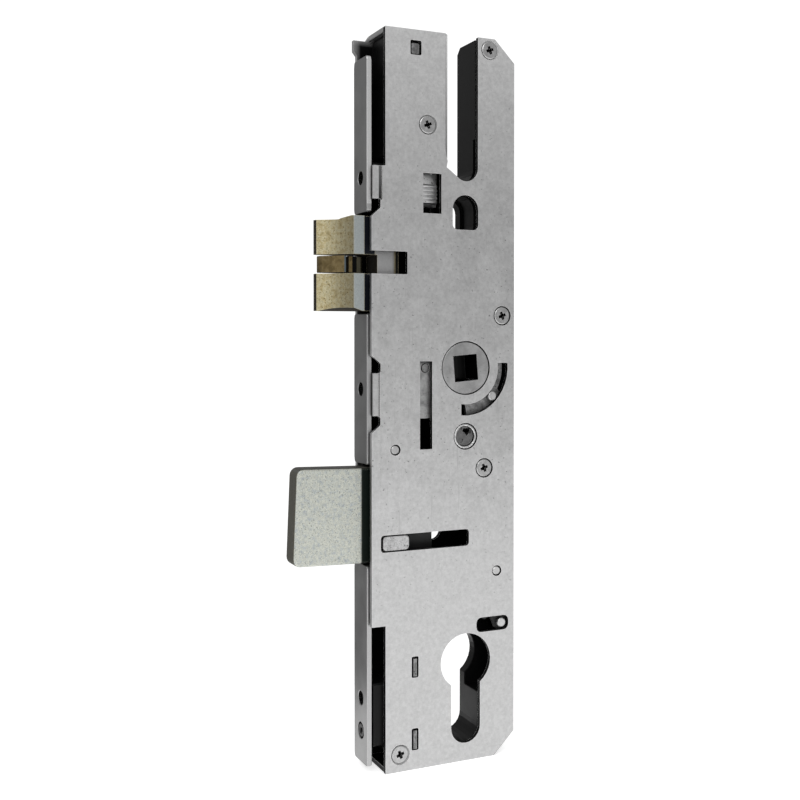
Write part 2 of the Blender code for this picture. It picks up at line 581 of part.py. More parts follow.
def follower():
    group = "follower"
    hub_end = OUTER - 0.05
    hub = place("follower_hub", turned(
        [(0.0, -hub_end), (HUB_R - 0.2, -hub_end), (HUB_R, -hub_end + 0.2), (HUB_R, -CORE - 0.1),
         (HUB_NECK_R, -CORE - 0.1), (HUB_NECK_R, CORE + 0.1), (HUB_R, CORE + 0.1), (HUB_R, hub_end - 0.2),
         (HUB_R - 0.2, hub_end), (0.0, hub_end)], (BACKSET, 0.0), steps=40), group, STEEL)
    half = SPINDLE_SQUARE / 2
    square = turned_about_hub(box_outline(-half, -half, half, half), SQUARE_TILT)
    carve(hub, prism(square, (-20.0, 20.0)), group)

    pin_angle = math.radians(FOLLOWER_PIN_ANGLE)
    pin_centre = (BACKSET + FOLLOWER_PIN_ORBIT * math.cos(pin_angle),
                  FOLLOWER_PIN_ORBIT * math.sin(pin_angle))
    holes = [circle((BACKSET, 0.0), HUB_NECK_R + FIT, 32), circle(pin_centre, 1.2, 12)]
    place("follower_gear", prism(gear_outline(), PLATE_LAYER, holes), group, STEEL)
    place("follower_pin", plate_pin(pin_centre, 0.3), group, BRIGHT, smooth=True)

    lobe_angle, lobe_r, tip_r = 112.0, 19.0, 1.5
    tip = (lobe_r * math.cos(math.radians(lobe_angle)), lobe_r * math.sin(math.radians(lobe_angle)))
    body = arc((0.0, 0.0), 9.8, lobe_angle + 28.0, lobe_angle + 332.0, 24)
    lobe = arc(tip, tip_r, lobe_angle - 90.0, lobe_angle + 90.0, 6)
    cam = turned_about_hub(body + lobe, 0.0)
    solid = prism(cam, CAM_LAYER, [circle((BACKSET, 0.0), HUB_NECK_R + FIT, 32)])
    place("follower_cam", solid, group, CLEAR_ZINC)

    coil_r, wire_r, turns, low, rise, leg = 9.0, 0.5, 2.25, 2.5, 2.6, 6.0
    start = math.radians(-20.0)
    count = round(turns * 20)
    path = []
    for i in range(count + 1):
        angle = start + 2 * math.pi * turns * i / count
        path.append((BACKSET + coil_r * math.cos(angle), low + rise * i / count, coil_r * math.sin(angle)))
    end = start + 2 * math.pi * turns
    path.append((BACKSET + coil_r * math.cos(end) - leg * math.sin(end), low + rise,
                 coil_r * math.sin(end) + leg * math.cos(end)))
    place("follower_spring", tube_along(path, wire_r), "case", SPRING, smooth=True)


# ---- drive slide -------------------------------------------------------------------------------
def rack_outline():
    """Slide plate: rack teeth level with the hub, and a narrow neck up to the rack block."""
    pitch = math.pi * 2 * GEAR_PITCH_R / GEAR_TEETH
    line = BACKSET - GEAR_PITCH_R
    back, root, tip = 15.2, line - TOOTH_BELOW, line + TOOTH_ABOVE
    half_root, half_tip = 1.2, 0.4
    low = -15.5
    points = [(back, low), (root, low)]
    for gap in range(-3, 3):
        middle = (gap + 0.5) * pitch
        points += [(root, middle - half_root), (tip, middle - half_tip), (tip, middle + half_tip),
                   (root, middle + half_root)]
    neck = 17.4
    return points + [(root, 41.0), (neck, 44.5), (neck, 59.5), (back, 59.5)]


def drive_slide():
    group = "drive_slide"
    rivet_centre, shank_r, hole_r = (19.3, 0.1), 1.2, 1.45
    solid = prism(rack_outline(), PLATE_LAYER, [circle(rivet_centre, hole_r, 16)])
    place("drive_slide", solid, group, BRIGHT)
    face, under, back = PLATE_LAYER[0] - 0.1, PLATE_LAYER[1] + 0.3, PLATE_LAYER[1] + 1.2
    rivet = turned([(0.0, face), (shank_r, face), (shank_r, under), (1.8, under), (1.8, back), (0.0, back)],
                   rivet_centre, steps=20)
    place("slide_rivet", rivet, group, STRIP_STEEL, smooth=True)

    left, right, low, high = 15.4, 24.3, 51.0, 57.1
    near, far = PLATE_LAYER[1] + FIT, -0.6
    foot, plain_top, ridges, depth = 50.1, 60.4, 5, 0.6
    pitch = (high - low) / ridges
    outline = [(far, foot), (near + 2 * depth, foot), (near + depth, low)]
    for ridge in range(ridges):
        base = low + ridge * pitch
        outline += [(near, base + 0.3 * pitch), (near, base + 0.7 * pitch), (near + depth, base + pitch)]
    outline += [(near + depth, plain_top), (far, plain_top)]
    place("rack_block", prism(outline, (left, right), axis="X"), group, STRIP_STEEL)


# ---- latch -------------------------------------------------------------------------------------
def latch_plan():
    """Plan of the latch head: near face, hollow bevel, blunt tip."""
    tip_x, bevel_start, sag, steps = -13.6, -4.05, 0.45, 8
    start, stop = (bevel_start, -5.0), (tip_x + 0.3, 2.5)
    bevel = []
    for i in range(steps + 1):
        t = i / steps
        hollow = sag * math.sin(math.pi * t)
        bevel.append((start[0] + (stop[0] - start[0]) * t + hollow * 0.6,
                      start[1] + (stop[1] - start[1]) * t + hollow * 0.8))
    nose = [(tip_x, 3.2), (tip_x, 4.3), (tip_x + 0.7, 5.0)]
    return [(11.0, -3.9), (-0.6, -3.9), (-0.6, -5.0)] + bevel + nose + [(11.0, 5.0)]


def latch():
    group = "latch"
    head = place("latch_head", prism(latch_plan(), (LATCH_LOW, LATCH_HIGH), axis="Z"), group, YELLOW_ZINC)
    carve(head, prism(box_outline(-30.0, TONGUE_LOW, 4.0, TONGUE_HIGH), (-20.0, 20.0)), group)
    carve(head, turned([(1.15, 24.0), (1.15, 37.3)], TONGUE_PIN, axis="Z", steps=16), group)
    dip = [(-30.0, 45.2), (-7.4, 45.2), (-4.6, 46.2), (-4.2, 50.0), (-30.0, 50.0)]
    carve(head, prism(dip, (-20.0, 20.0)), group)
    carve(head, prism(box_outline(2.8, -10.0, 15.0, -0.3), (42.8, 50.0), axis="Z"), group)
    worn = turned([(0.0, -6.0), (19.2, -6.0), (17.4, 5.4), (0.0, 5.4)], (-8.9, LATCH_LOW - 17.5), steps=96)
    carve(head, worn, group)
    spring_y, spring_z, bore_r = 1.0, 40.6, 2.7
    carve(head, turned([(bore_r, -6.0), (bore_r, 12.0)], (spring_y, spring_z), axis="X", steps=20), group)
    carve(head, prism(box_outline(3.0, 22.0, 14.0, 27.9), (TAIL_LAYER[0] - FIT, TAIL_LAYER[1] + FIT)), group)
    rivet_centre = (6.0, 25.0)
    carve(head, turned([(1.3, -10.0), (1.3, 10.0)], rivet_centre, steps=14), group)

    pin = turned([(0.0, 24.3), (0.85, 24.3), (0.85, 37.0), (0.0, 37.0)], TONGUE_PIN, axis="Z", steps=14)
    place("tongue_pin", pin, group, BRIGHT, smooth=True)

    bar_low, bar_high = 22.4, 27.5
    tail = [(3.3, bar_low), (20.0, bar_low), (27.0, 24.4), (27.0, 18.6), (30.5, 18.6), (30.5, 29.6),
            (22.0, 29.6), (19.0, bar_high), (3.3, bar_high)]
    place("latch_tail", prism(tail, TAIL_LAYER, [circle(rivet_centre, 1.3, 14)]), group, CLEAR_ZINC)
    rivet = turned([(0.0, -3.6), (1.0, -3.6), (1.0, 4.8), (0.0, 4.8)], rivet_centre, steps=14)
    place("latch_tail_rivet", rivet, group, BRIGHT, smooth=True)

    post = turned([(0.0, 10.5), (0.7, 10.5), (0.9, 10.8), (0.9, 26.1), (0.0, 26.1)], (spring_y, spring_z),
                  axis="X", steps=14)
    place("spring_post", post, "case", BRIGHT, smooth=True)
    first, last, coil_r, wire_r, turns = -5.2, 25.5, 1.95, 0.4, 9
    steps = turns * 10
    path = []
    for i in range(steps + 1):
        angle = 2 * math.pi * turns * i / steps
        path.append((first + (last - first) * i / steps, spring_y + coil_r * math.cos(angle),
                     spring_z + coil_r * math.sin(angle)))
    place("latch_spring", tube_along(path, wire_r, 6), "case", SPRING, smooth=True)


def latch_tongue():
    """Anti-friction tongue: two facets towards the keep, a step, and the root round its pin."""
    low, high = TONGUE_LOW + 0.35, TONGUE_HIGH - 0.45
    plan = [(-12.2, 4.7), (-12.7, 4.0), (-12.5, 2.6), (-11.9, 1.5), (-9.9, -0.4), (-9.4, -1.0), (-6.4, -3.2),
            (-5.8, -3.2), (-5.8, 0.2), (-4.6, 0.2), (-4.6, -2.2), (-3.4, -2.2), (-3.4, 0.6), (0.4, 0.6),
            (1.2, 1.4), (1.2, 4.2), (0.7, 4.7)]
    solid = prism(plan, (low, high), [circle(TONGUE_PIN, 1.15, 14)], axis="Z")
    place("latch_tongue", solid, "tongue", BRONZE)


# ---- deadbolt ----------------------------------------------------------------------------------
def deadbolt():
    group = "deadbolt"
    root, corner, lean, taper = 13.5, 2.4, 1.0, 0.5
    upper = BOLT_TIP + lean + corner, BOLT_HIGH - corner
    lower = BOLT_TIP + corner, BOLT_LOW + taper + corner
    outline = (arc(upper, corner, 178.0, 89.0, 5) + [(0.0, BOLT_HIGH - taper), (root, BOLT_HIGH - taper)]
               + [(root, BOLT_LOW), (0.0, BOLT_LOW)] + arc(lower, corner, 269.0, 178.0, 5))
    solid = prism(outline, (BOLT_NEAR, BOLT_FAR))
    bmesh.ops.dissolve_limit(solid, angle_limit=0.01, verts=solid.verts[:], edges=solid.edges[:])

    bevel_edges(solid, lambda a, b: abs(a.y - b.y) < 0.01, 0.6, 2)
    bolt = place("deadbolt", solid, group, CLEAR_ZINC)
    carve(bolt, prism(box_outline(5.2, BOLT_LOW - 5.0, 20.0, -35.7),
                      (CAM_LAYER[0] - FIT, CAM_LAYER[1] + FIT)), group)
    rivet_spots = {"tail_rivet_upper": (9.5, -38.5), "tail_rivet_lower": (9.5, -47.0)}
    bores = [turned([(1.5, -10.0), (1.5, 10.0)], spot, steps=14) for spot in rivet_spots.values()]
    carve(bolt, merged(*bores), group)
    for name, spot in rivet_spots.items():
        rivet = turned([(0.0, BOLT_NEAR + 0.1), (1.2, BOLT_NEAR + 0.1), (1.2, BOLT_FAR - 0.1),
                        (0.0, BOLT_FAR - 0.1)], spot, steps=14)
        place(name, rivet, group, BRIGHT, smooth=True)

    corner, left, right, low, high = 1.2, 4.5, 13.2, -55.4, -50.9
    lug = box_outline(left, low, right, high, corner, 4)
    place("deadbolt_lug", prism(lug, (-OUTER + 0.25, BOLT_NEAR - FIT)), group, CLEAR_ZINC)

    tail = [(5.5, -57.8), (14.2, -57.8), (14.2, -64.0), (15.0, -80.3), (18.8, -80.3), (18.8, -75.5),
            (24.6, -75.5), (24.6, -80.3), (27.3, -80.3), (27.3, -67.0), (20.4, -67.0), (20.4, -60.2),
            (23.4, -60.2), (23.4, -36.0), (5.5, -36.0)]
    holes = [circle(spot, 1.5, 14) for spot in rivet_spots.values()]
    place("deadbolt_tail", prism(tail, CAM_LAYER, holes), group, STEEL)


def deadbolt_guide():
    """Frame just behind the forend, round the deadbolt."""
    outline = box_outline(-CORE, BOLT_LOW - 1.9, CORE, BOLT_HIGH + 1.9, 0.4, 1)
    hole = box_outline(BOLT_NEAR - FIT, BOLT_LOW - FIT, BOLT_FAR + FIT, BOLT_HIGH + FIT)
    place("deadbolt_guide", prism(outline, (STRIP_THICK + FIT, 3.4), [hole], axis="X"), finish=BLACK)


def detent_spring():
    """Arched leaf just above the deadbolt, which it steadies when the bolt is drawn in."""
    steps, left, right, level, crown, thick = 10, 12.0, 30.0, -26.9, 1.6, 0.4
    top, under = [], []
    for i in range(steps + 1):
        t = i / steps
        rise = crown * math.cos(math.pi * (t - 0.5)) ** 2
        place_x = left + (right - left) * t
        top.append((place_x, level - rise + thick))
        under.append((place_x, level - rise))
    place("detent_spring", prism(top + under[::-1], (CAM_LAYER[0] + 0.2, CAM_LAYER[1] - 0.2)), finish=SPRING)


# ---- locking lever -----------------------------------------------------------------------------
def locking_lever():
    group = "locking_lever"
    head = arc(LEVER_PIVOT, 3.3, -20.0, 60.0, 6)
    stub = arc((42.0, -57.4), 1.7, 30.0, 200.0, 6)
    foot = [(39.9, -66.5), (40.6, -74.5), (38.4, -79.4), (40.2, -80.2), (42.3, -79.0)]
    pin_end = arc(LEVER_PIN, 2.4, 230.0, 380.0, 8)
    plate = prism(head + stub + foot + pin_end, (PLATE_LAYER[0], PLATE_LAYER[1] + 0.2),
                  [circle(LEVER_PIVOT, RIVET_R + FIT, 16), circle(LEVER_PIN, 1.2, 12)])
    place("locking_lever", plate, group, BRIGHT)
    place("lever_pin", plate_pin(LEVER_PIN, 0.5), group, STRIP_STEEL, smooth=True)

    coil_r, wire_r, turns, low, rise, leg = 2.6, 0.3, 2, -3.6, 1.4, 8.0
    count = turns * 14
    path = [(LEVER_PIVOT[0] + coil_r, low, LEVER_PIVOT[1] - leg)]
    for i in range(count + 1):
        angle = 2 * math.pi * turns * i / count
        path.append((LEVER_PIVOT[0] + coil_r * math.cos(angle), low + rise * i / count,
                     LEVER_PIVOT[1] + coil_r * math.sin(angle)))
    path.append((LEVER_PIVOT[0] + coil_r, low + rise, LEVER_PIVOT[1] + leg))
    place("lever_spring", tube_along(path, wire_r, 6), "case", SPRING, smooth=True)


near_cover()
far_case()
upper_block()
cylinder_block()
upper_front_block()
head_lug()
forend_strips()
screw_blocks()
case_screws()
rivets()
fixing_eyelet()
spacer_plate()
follower()
drive_slide()
latch()
latch_tongue()
deadbolt()
deadbolt_guide()
detent_spring()
locking_lever()
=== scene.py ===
"""Looks of a multipoint mortise lock's centre case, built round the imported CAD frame.

Axes and units are the frame's: +X from the forend into the door, +Y from the near cover to the far
plate, +Z up, in metres. A length written in millimetres is multiplied by MM.
"""

import math

import bmesh
import bpy
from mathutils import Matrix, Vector


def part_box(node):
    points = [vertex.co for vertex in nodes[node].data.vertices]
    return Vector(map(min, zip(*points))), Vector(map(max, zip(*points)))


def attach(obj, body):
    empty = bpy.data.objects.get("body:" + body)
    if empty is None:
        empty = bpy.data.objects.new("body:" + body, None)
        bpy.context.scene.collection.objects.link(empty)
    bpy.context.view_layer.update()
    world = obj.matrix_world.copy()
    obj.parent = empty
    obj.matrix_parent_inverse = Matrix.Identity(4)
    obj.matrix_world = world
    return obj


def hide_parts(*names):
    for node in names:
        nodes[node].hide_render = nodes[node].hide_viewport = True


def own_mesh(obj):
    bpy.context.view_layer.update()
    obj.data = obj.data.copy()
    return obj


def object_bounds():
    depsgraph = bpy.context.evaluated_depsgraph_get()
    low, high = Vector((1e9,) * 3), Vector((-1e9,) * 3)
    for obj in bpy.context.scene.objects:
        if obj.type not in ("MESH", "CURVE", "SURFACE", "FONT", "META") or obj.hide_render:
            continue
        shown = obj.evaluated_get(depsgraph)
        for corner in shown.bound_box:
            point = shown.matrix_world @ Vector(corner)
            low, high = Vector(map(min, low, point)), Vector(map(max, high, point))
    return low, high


MM = 0.001

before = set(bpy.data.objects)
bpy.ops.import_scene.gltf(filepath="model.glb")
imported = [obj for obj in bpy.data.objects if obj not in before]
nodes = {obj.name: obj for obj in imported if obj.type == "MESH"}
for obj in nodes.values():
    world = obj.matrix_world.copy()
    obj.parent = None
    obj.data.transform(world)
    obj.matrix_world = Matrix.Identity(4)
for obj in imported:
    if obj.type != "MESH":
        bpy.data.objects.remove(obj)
cad_box = [list(corner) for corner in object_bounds()]


# ---- materials ---------------------------------------------------------------------------------
NOISE_RANGE = (0.3, 0.7)      # holds nearly all of a noise's values
TURN_SOFT = 0.3               # soft edge of a zone's limit on the way a face looks
PATCH_HEIGHT = 0.6            # height of the patches in the bumps, against 1 for the grain
SPECK_SOFT = 0.05             # soft edge of a speck, in noise values
SCRATCH_MM = 0.8              # size across of the noise that makes the scratches
SCRATCH_STRETCH = 20          # how many times longer they are, along Z
SCRATCH_TURN = 0.5            # turn of the stretched noise, in radians, which sets where they lie
SCRATCH_SOFT = 0.03           # soft edge of a scratch, in noise values
SCRATCH_TINT = 0.6            # how strongly a scratch takes its colour
SCRATCH_DEPTH = 0.5           # depth of a scratch in the bumps, against 1 for the grain
# edges take a tint that is partly wear and partly painted light: a painted rim highlight where the tint is
# pale, a painted rim shade where it is dark
EDGE_WEAR_AND_LIGHT_RANGE = (0.01, 0.14)     # rounding times grain, from an untinted edge to a fully tinted one
EDGE_WEAR_AND_LIGHT_BASE = 0.4               # part of the edge tint that doesn't depend on the grain
EDGE_WEAR_AND_LIGHT_TINT = 0.75              # how strongly an edge takes its tint, which is wear and painted rim light
WEAR_RANGE = (0.35, 0.65)     # mix of patches and grain, from the least to the most rough


def srgb(red, green, blue):
    """A linear colour from display values of 0 to 255."""
    linear = []
    for value in (red, green, blue):
        v = value / 255
        linear.append(v / 12.92 if v <= 0.04045 else ((v + 0.055) / 1.055) ** 2.4)
    return (*linear, 1.0)


def grey(value):
    return srgb(value, value, value)


class Nodes:
    """Short calls for building one material's node tree."""

    def __init__(self, name):
        self.material = bpy.data.materials.new(name)
        self.material.use_nodes = True
        self.tree = self.material.node_tree
        self.shader = self.tree.nodes["Principled BSDF"]

    def add(self, kind, settings=None, **inputs):
        """Adds a node; a socket's name is written with _ for a space. Values may be links or constants."""
        made = self.tree.nodes.new(kind)
        for key, value in (settings or {}).items():
            setattr(made, key, value)
        for key, value in inputs.items():
            by_number = key[0] == "i" and key[1:].isdigit()
            self.put(made.inputs[int(key[1:]) if by_number else key.replace("_", " ")], value)
        return made

    def put(self, socket, value):
        if isinstance(value, bpy.types.NodeSocket):
            self.tree.links.new(value, socket)
        else:
            socket.default_value = value

    def math(self, operation, a, b):
        return self.add("ShaderNodeMath", {"operation": operation}, i0=a, i1=b).outputs[0]

    def noise(self, coords, size, detail, roughness=0.55, distortion=0.0):
        """Noise whose features are about size across, in the unit of coords."""
        return self.add("ShaderNodeTexNoise", Vector=coords, Scale=1.0 / size, Detail=detail,
                        Roughness=roughness, Distortion=distortion).outputs["Fac"]

    def spread(self, value, low, high, to_low=0.0, to_high=1.0):
        """Stretches low..high of a value to to_low..to_high, and holds it there outside."""
        return self.add("ShaderNodeMapRange", Value=value, From_Min=low, From_Max=high, To_Min=to_low,
                        To_Max=to_high).outputs[0]

    def ramp(self, noise, colours):
        """Colours spaced evenly over the range of a noise."""
        low, high = NOISE_RANGE
        made = self.add("ShaderNodeValToRGB", Fac=noise)
        points = made.color_ramp.elements
        points[0].position, points[0].color = low, colours[0]
        points[1].position, points[1].color = high, colours[-1]
        for i, colour in enumerate(colours[1:-1], 1):
            points.new(low + (high - low) * i / (len(colours) - 1)).color = colour
        return made.outputs["Color"]

    def blend(self, factor, a, b):
        """Colour a where the factor is 0, and b where it is 1."""
        made = self.add("ShaderNodeMix", {"data_type": "RGBA"}, i6=a, i7=b, Factor=factor)
        return made.outputs[2]


def zone_mask(n, coords, facing, limits, soft_mm):
    """1 inside the limits, 0 outside: x, y, z in millimetres, and nx, ny, nz for the way a face looks."""
    place = n.add("ShaderNodeSeparateXYZ", Vector=coords)
    looks = n.add("ShaderNodeSeparateXYZ", Vector=facing)
    mask = 1.0
    for axis, (least, most) in limits.items():
        source, soft = (looks, TURN_SOFT) if axis[0] == "n" else (place, soft_mm)
        value = source.outputs[axis[-1].upper()]
        if least is not None:
            mask = n.math("MULTIPLY", mask, n.spread(value, least - soft / 2, least + soft / 2))
        if most is not None:
            mask = n.math("MULTIPLY", mask, n.spread(value, most - soft / 2, most + soft / 2, 1.0, 0.0))
    return mask


def surface(name, colours, *, metallic, rough, patch_mm, grain_mm, grain_depth, bump_mm, speck=None,
            scratch=None, edge=None, specular=0.5, zones=()):
    """A metal or coated surface: patches of colour, a fine grain, specks, hairline scratches, and edges
    tinted for wear and painted rim light.

    rough is (least, most). speck is (colour, size in mm, threshold), scratch (colour, threshold) and edge
    (colour, reach in mm). A zone is (limits, soft edge in mm, colour, share of metal and gloss left).
    The edge tint is partly wear and partly painted light: a painted rim highlight where it is pale, a
    painted rim shade where it is dark. Most zones here are painted shade and light, by place and facing.
    """
    n = Nodes(name)
    spot = n.add("ShaderNodeTexCoord")
    coords = n.add("ShaderNodeMapping", Vector=spot.outputs["Object"], Scale=[1 / MM] * 3).outputs[0]
    patches = n.noise(coords, patch_mm, detail=4.0, distortion=0.3)
    grain = n.noise(coords, grain_mm, detail=5.0, roughness=0.7)
    shade = n.spread(grain, *NOISE_RANGE, 1.0 - grain_depth, 1.0 + grain_depth * 0.5)

    def shaded(colour):
        scaled = n.add("ShaderNodeVectorMath", {"operation": "SCALE"})
        n.put(scaled.inputs[0], colour if isinstance(colour, bpy.types.NodeSocket) else colour[:3])
        n.put(scaled.inputs["Scale"], shade)
        return scaled.outputs[0]

    colour = shaded(n.ramp(patches, colours))
    height = n.math("ADD", grain, n.math("MULTIPLY", patches, PATCH_HEIGHT))
    if speck:
        tint, size, threshold = speck
        spots = n.spread(n.noise(coords, size, detail=2.0), threshold, threshold + SPECK_SOFT)
        colour = n.blend(spots, colour, tint)
        height = n.math("SUBTRACT", height, spots)
    if scratch:
        tint, threshold = scratch
        turned = n.add("ShaderNodeMapping", Vector=coords, Rotation=(0.0, SCRATCH_TURN, 0.0),
                       Scale=(1.0, 1.0, 1.0 / SCRATCH_STRETCH)).outputs[0]
        streaks = n.noise(turned, SCRATCH_MM, detail=2.0, distortion=0.6)
        lines = n.spread(streaks, threshold, threshold + SCRATCH_SOFT)
        colour = n.blend(n.math("MULTIPLY", lines, SCRATCH_TINT), colour, tint)
        height = n.math("SUBTRACT", height, n.math("MULTIPLY", lines, SCRATCH_DEPTH))
    shine, gloss = metallic, specular
    for limits, soft_mm, tint, left in zones:
        mask = zone_mask(n, coords, spot.outputs["Normal"], limits, soft_mm)
        colour = n.blend(mask, colour, shaded(tint))
        lost = n.math("MULTIPLY", mask, 1.0 - left)
        shine = n.math("MULTIPLY", shine, n.math("SUBTRACT", 1.0, lost))
        gloss = n.math("MULTIPLY", gloss, n.math("SUBTRACT", 1.0, lost))
    # edge tint: partly wear, partly a painted rim highlight (a painted rim shade where the tint is dark)
    if edge:
        tint, reach = edge
        rounded = n.add("ShaderNodeBevel", {"samples": 4}, Radius=reach * MM).outputs[0]
        true = n.add("ShaderNodeNewGeometry").outputs["Normal"]
        agree = n.add("ShaderNodeVectorMath", {"operation": "DOT_PRODUCT"})
        n.put(agree.inputs[0], rounded)
        n.put(agree.inputs[1], true)
        bent = n.math("SUBTRACT", 1.0, agree.outputs["Value"])
        edge_wear_and_light = n.spread(n.math("MULTIPLY", bent, n.math("ADD", grain, EDGE_WEAR_AND_LIGHT_BASE)), *EDGE_WEAR_AND_LIGHT_RANGE)
        colour = n.blend(n.math("MULTIPLY", edge_wear_and_light, EDGE_WEAR_AND_LIGHT_TINT), colour, tint)
    n.put(n.shader.inputs["Base Color"], colour)
    wear = n.math("ADD", n.math("MULTIPLY", patches, 0.5), n.math("MULTIPLY", grain, 0.5))
    n.put(n.shader.inputs["Roughness"], n.spread(wear, *WEAR_RANGE, *rough))
    n.put(n.shader.inputs["Metallic"], shine)
    n.put(n.shader.inputs["Specular IOR Level"], gloss)
    bump = n.add("ShaderNodeBump", Height=height, Strength=1.0, Distance=bump_mm * MM).outputs[0]
    n.put(n.shader.inputs["Normal"], bump)
    return n.material


# near blacks for zones; most of their use below is painted shade, in recesses, on cut walls and inside the
# case
DARK = grey(14)
PITCH_BLACK = grey(5)

# the pale edge tint is a painted rim highlight; the zones paint shade on the cut walls and the far face
# inside the case, and paint the near face lighter towards the top and darker towards the bottom, as painted
# light and shade
COVER = surface("cover_sheet_steel", [grey(196), grey(201), grey(206)], metallic=1.0, rough=(0.36, 0.44),
                patch_mm=5.0, grain_mm=1.0, grain_depth=0.17, bump_mm=0.007,
                speck=(grey(132), 0.8, 0.69), scratch=(grey(182), 0.68), edge=(grey(245), 0.3),
                zones=[({"y": (-7.4, -5.9), "x": (3.2, None)}, 0.1, DARK, 0.1),
                       ({"ny": (0.3, None), "x": (3.2, None)}, 0.4, DARK, 0.1),
                       ({"ny": (None, -0.5), "z": (80.0, None)}, 60.0, grey(228), 1.0),
                       ({"ny": (None, -0.5), "z": (None, -70.0)}, 60.0, grey(192), 1.0)])
# zones darken the far case's inner face and its cut walls inside the case: partly its black lining, partly
# painted shade
CASE = surface("far_case_sheet_steel", [grey(186), grey(196), grey(204)], metallic=1.0, rough=(0.36, 0.48),
               patch_mm=14.0, grain_mm=0.4, grain_depth=0.12, bump_mm=0.008, speck=(grey(120), 0.8, 0.73),
               edge=(grey(220), 0.28),
               zones=[({"ny": (None, -0.3), "x": (0.5, None), "z": (None, 102.0)}, 4.0, DARK, 0.06),
                      ({"ny": (-0.5, 0.5), "x": (3.0, 49.3), "z": (None, 102.0)}, 0.8, DARK, 0.1)])
# the hub is painted pitch black behind its near face: painted shade inside the square hole
HUB_STEEL = surface("follower_face_steel", [grey(158), grey(172), grey(184)], metallic=1.0,
                    rough=(0.36, 0.46), patch_mm=3.0, grain_mm=0.4, grain_depth=0.14, bump_mm=0.01,
                    speck=(grey(110), 0.7, 0.72), scratch=(grey(150), 0.68), edge=(grey(226), 0.2),
                    zones=[({"y": (-7.2, 7.2)}, 0.1, PITCH_BLACK, 0.0)])
# a dark copy of sheet steel for parts deep in the case and in their holes: painted shade
STEEL_IN_PAINTED_SHADE = surface("inner_sheet_steel_painted_shade", [grey(40), grey(52), grey(64)], metallic=0.7, rough=(0.36, 0.5),
                      patch_mm=6.0, grain_mm=0.4, grain_depth=0.2, bump_mm=0.015,
                      speck=(grey(20), 0.8, 0.66), edge=(grey(92), 0.25))
# the strips' base tone is dark for faces turned away towards -X, while the near faces are painted lighter
# and lighter again at the top: painted light and shade by facing; the walls inside the strips are painted
# shade
STRIP = surface("forend_strip_steel", [grey(138), grey(150), grey(162)], metallic=1.0, rough=(0.34, 0.46),
                patch_mm=12.0, grain_mm=0.35, grain_depth=0.13, bump_mm=0.008, speck=(grey(120), 0.7, 0.72),
                edge=(grey(225), 0.3),
                zones=[({"ny": (None, -0.5)}, 0.3, grey(180), 1.0),
                       ({"ny": (None, -0.5), "z": (50.0, None)}, 0.3, grey(218), 1.0),
                       ({"nx": (-0.5, 0.5), "x": (0.1, 1.55), "y": (-3.2, 4.5)}, 0.1, DARK, 0.1)])
BLACK = surface("black_coating", [grey(12), grey(16), grey(20)], metallic=0.0, rough=(0.3, 0.42),
                patch_mm=5.0, grain_mm=0.25, grain_depth=0.3, bump_mm=0.015, edge=(grey(70), 0.2),
                specular=0.14)
# zones on the latch head, after a grey band and two grey patches: painted shade as a blue-black band in the
# shadow of the cover's edge, a dark far end inside the case, dark undersides, a dark top near the tip and a
# dark face turned towards -X
YELLOW = surface("yellow_passivated_zinc",
                 [srgb(176, 162, 120), srgb(204, 190, 148), srgb(214, 206, 172), srgb(190, 176, 134)],
                 metallic=1.0, rough=(0.4, 0.56), patch_mm=1.3, grain_mm=0.3, grain_depth=0.24, bump_mm=0.02,
                 speck=(srgb(132, 116, 80), 0.45, 0.62), edge=(srgb(226, 218, 186), 0.25),
                 zones=[({"x": (-4.1, -0.4)}, 0.5, srgb(178, 184, 184), 1.0),
                        ({"x": (-0.7, 3.3)}, 0.3, srgb(24, 28, 36), 0.5),
                        ({"x": (0.8, 4.2), "z": (28.6, 34.3), "ny": (None, -0.5)}, 0.3, grey(105), 0.8),
                        ({"x": (3.3, 9.6), "ny": (None, -0.5)}, 0.6, grey(178), 0.9),
                        ({"x": (9.6, None)}, 1.4, DARK, 0.1),
                        ({"nz": (None, -0.5)}, 0.3, srgb(50, 44, 34), 0.4),
                        ({"nz": (0.6, None), "x": (None, -8.5)}, 0.6, srgb(60, 54, 44), 0.5),
                        ({"nx": (None, -0.7)}, 0.3, srgb(50, 46, 38), 0.5)])
# zones on the bolt and latch tail: painted shade as a greenish-black band in the shadow of the cover and
# guide, a darker end face turned towards -X, and dark tops near the front
ZINC = surface("clear_passivated_zinc",
               [srgb(176, 182, 186), srgb(200, 204, 198), srgb(212, 213, 202), srgb(192, 198, 198)],
               metallic=1.0, rough=(0.4, 0.54), patch_mm=0.9, grain_mm=0.3, grain_depth=0.32, bump_mm=0.018,
               speck=(srgb(146, 150, 144), 0.45, 0.60), edge=(srgb(220, 222, 214), 0.3),
               zones=[({"x": (-1.3, 4.0), "y": (-5.2, None)}, 0.5, srgb(20, 28, 24), 0.2),
                      ({"nx": (None, -0.6)}, 0.3, srgb(120, 118, 108), 1.0),
                      ({"nz": (0.7, None), "x": (None, 2.0)}, 0.3, srgb(84, 82, 76), 0.7)])
